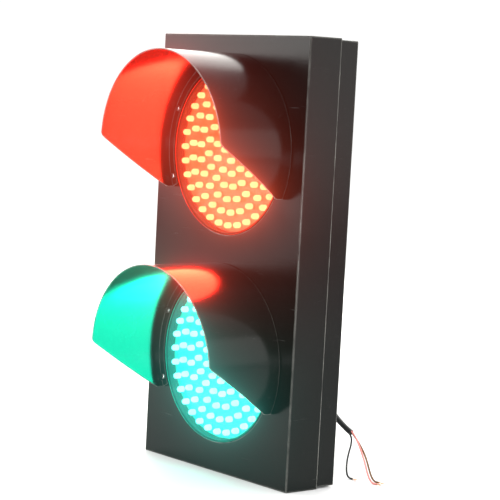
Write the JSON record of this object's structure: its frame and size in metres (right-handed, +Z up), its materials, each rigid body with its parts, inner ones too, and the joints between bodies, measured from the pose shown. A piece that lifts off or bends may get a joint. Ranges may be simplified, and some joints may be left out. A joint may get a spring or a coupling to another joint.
{
  "type": "traffic signal head",
  "caption": "Upright sheet steel box with red and green LED lamps under long cutaway visors; its hinged cover carries the lamps and closes over a shallow rear tray.",
  "frame": {"origin": "middle of the housing's underside, on the floor", "axes": "+Z up, -Y the way the lamps face, +X right as seen from the front"},
  "size_m": [0.286, 0.2473, 0.51],
  "materials": {
    "black_paint": "gloss black stove enamel on sheet steel",
    "zinc": "bright zinc plate",
    "steel": "bright steel",
    "red_lens": "clear moulded, red lit",
    "green_lens": "clear moulded, green lit",
    "circuit_board": "solder mask over glass fibre",
    "black_plastic": "moulded black plastic",
    "potting": "cast resin",
    "rubber": "matt black rubber",
    "cream_plastic": "moulded cream plastic",
    "black_sheath": "soft black sheath",
    "brown_sheath": "soft brown insulation",
    "pink_sheath": "soft faded red insulation"
  },
  "bodies": {
    "tray": {"cable": "black_sheath", "core_black": "black_sheath", "core_brown": "brown_sheath", "core_pink": "pink_sheath", "gland_body": "black_plastic", "gland_locknut": "black_plastic", "gland_seal": "rubber", "green_lead": "black_sheath", "inner_cable": "black_sheath", "inner_core_black": "black_sheath", "inner_core_brown": "brown_sheath", "inner_core_pink": "pink_sheath", "lower_hinge_pin": "zinc", "lower_hinge_tray_leaf": "black_paint", "rear_tray": "black_paint", "red_lead": "black_sheath", "terminal_block": "cream_plastic", "terminal_screw_left": "zinc", "terminal_screw_right": "zinc", "upper_hinge_pin": "zinc", "upper_hinge_tray_leaf": "black_paint"},
    "cover": {"bottom_lid_nut": "zinc", "door_seal": "rubber", "front_cover": "black_paint", "green_driver": "potting", "green_fixing_screw_1": "steel", "green_fixing_screw_2": "steel", "green_fixing_screw_3": "steel", "green_fixing_screw_4": "steel", "green_lamp_bowl": "black_plastic", "green_lamp_clip_1": "zinc", "green_lamp_clip_2": "zinc", "green_lamp_clip_3": "zinc", "green_lamp_clip_4": "zinc", "green_led_board": "circuit_board", "green_lens": "green_lens", "green_lens_gasket": "rubber", "green_visor": "black_paint", "lower_hinge_cover_leaf": "black_paint", "red_driver": "potting", "red_fixing_screw_1": "steel", "red_fixing_screw_2": "steel", "red_fixing_screw_3": "steel", "red_fixing_screw_4": "steel", "red_lamp_bowl": "black_plastic", "red_lamp_clip_1": "zinc", "red_lamp_clip_2": "zinc", "red_lamp_clip_3": "zinc", "red_lamp_clip_4": "zinc", "red_led_board": "circuit_board", "red_lens": "red_lens", "red_lens_gasket": "rubber", "red_visor": "black_paint", "top_lid_nut": "zinc", "upper_hinge_cover_leaf": "black_paint"},
    "top_lid_screw": {"top_lid_screw": "steel"},
    "bottom_lid_screw": {"bottom_lid_screw": "steel"},
    "gland_dome_nut": {"gland_dome_nut": "black_plastic"}
  },
  "joints": [
    {"name": "cover_hinge", "type": "hinge", "parent": "tray", "child": "cover", "pos_m": [-0.13555, 0.0095, 0.255], "axis": [0, 0, -1], "range_deg": [0, 110], "deforming": ["red_lead", "green_lead"]},
    {"name": "top_lid_screw_turn", "type": "hinge", "parent": "cover", "child": "top_lid_screw", "pos_m": [0.095, 0.0045, 0.51], "axis": [0, 0, 1], "continuous": true},
    {"name": "bottom_lid_screw_turn", "type": "hinge", "parent": "cover", "child": "bottom_lid_screw", "pos_m": [0.095, 0.0045, 0], "axis": [0, 0, -1], "continuous": true},
    {"name": "gland_nut_turn", "type": "hinge", "parent": "tray", "child": "gland_dome_nut", "pos_m": [-0.02, 0.037, 0.12], "axis": [0, 1, 0], "range_deg": [0, 720]}
  ]
}
